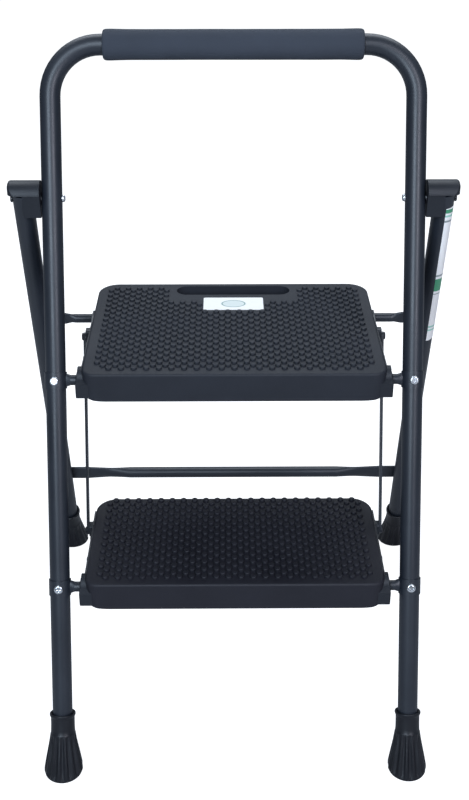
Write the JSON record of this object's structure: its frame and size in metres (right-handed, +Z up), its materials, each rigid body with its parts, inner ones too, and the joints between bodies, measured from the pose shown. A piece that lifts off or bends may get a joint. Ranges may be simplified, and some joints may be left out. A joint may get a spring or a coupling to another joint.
{
  "type": "folding step stool",
  "caption": "Folding step stool with a tall bent-tube hoop handle, foam grip, hinged rear legs and ribbed plastic treads that fold flat together.",
  "frame": {"origin": "floor level, in the middle of the four feet", "axes": "+X to the stool's right seen from the front, +Y to the back, +Z up"},
  "size_m": [0.573, 0.545, 0.8483],
  "materials": {
    "frame_paint": "dark slate satin powder coat",
    "foam": "matte foam rubber",
    "foot_rubber": "black rubber",
    "zinc": "bright zinc plate",
    "cap_plastic": "fine-textured moulded plastic",
    "upper_tread_plastic": "moulded plastic with raised studs",
    "lower_tread_plastic": "moulded plastic with raised studs",
    "dark_steel": "blackened steel rivets"
  },
  "bodies": {
    "front_frame": {"front_hoop": "frame_paint", "foam_grip": "foam", "front_foot_left": "foot_rubber", "front_foot_right": "foot_rubber", "upper_pivot_tube": "frame_paint", "lower_pivot_tube": "frame_paint", "saddle_screws": "zinc", "saddle_nuts": "zinc", "hinge_rivets": "zinc", "hinge_washers": "zinc"},
    "rear_frame": {"rear_leg_left": "frame_paint", "rear_leg_right": "frame_paint", "hinge_cap_left": "cap_plastic", "hinge_cap_right": "cap_plastic", "upper_rear_bar": "frame_paint", "lower_rear_bar": "frame_paint", "bar_rivets": "zinc", "rear_foot_left": "foot_rubber", "rear_foot_right": "foot_rubber"},
    "upper_step": {"upper_tread": "upper_tread_plastic", "upper_pivot_block_left": "cap_plastic", "upper_pivot_block_right": "cap_plastic", "upper_side_strap_left": "frame_paint", "upper_side_strap_right": "frame_paint", "upper_strap_rivets": "dark_steel", "upper_link_pins": "dark_steel"},
    "lower_step": {"lower_tread": "lower_tread_plastic", "lower_pivot_block_left": "cap_plastic", "lower_pivot_block_right": "cap_plastic", "lower_side_strap_left": "frame_paint", "lower_side_strap_right": "frame_paint", "lower_strap_rivets": "dark_steel", "lower_link_pins": "dark_steel"},
    "link_left": {"link_left": "frame_paint"},
    "link_right": {"link_right": "frame_paint"}
  },
  "joints": [
    {"name": "rear_fold", "type": "hinge", "parent": "front_frame", "child": "rear_frame", "pos_m": [0, 0.02985, 0.66423], "axis": [-1, 0, 0], "range_deg": [0, 37]},
    {"name": "upper_step_fold", "type": "hinge", "parent": "front_frame", "child": "upper_step", "pos_m": [0, -0.05505, 0.46127], "axis": [1, 0, 0], "range_deg": [0, 60.4]},
    {"name": "lower_step_fold", "type": "hinge", "parent": "front_frame", "child": "lower_step", "pos_m": [0, -0.15538, 0.22141], "axis": [1, 0, 0], "range_deg": [0, 60.4]},
    {"name": "link_left_turn", "type": "hinge", "parent": "upper_step", "child": "link_left", "pos_m": [-0.1957, 0.06495, 0.46127], "axis": [-1, 0, 0], "range_deg": [0, 60.4]},
    {"name": "link_right_turn", "type": "hinge", "parent": "upper_step", "child": "link_right", "pos_m": [0.1957, 0.06495, 0.46127], "axis": [-1, 0, 0], "range_deg": [0, 60.4]}
  ],
  "couplings": [
    {"joint": "upper_step_fold", "follows": "rear_fold", "ratio": 1.63},
    {"joint": "lower_step_fold", "follows": "rear_fold", "ratio": 1.63},
    {"joint": "link_left_turn", "follows": "rear_fold", "ratio": 1.63},
    {"joint": "link_right_turn", "follows": "rear_fold", "ratio": 1.63}
  ]
}
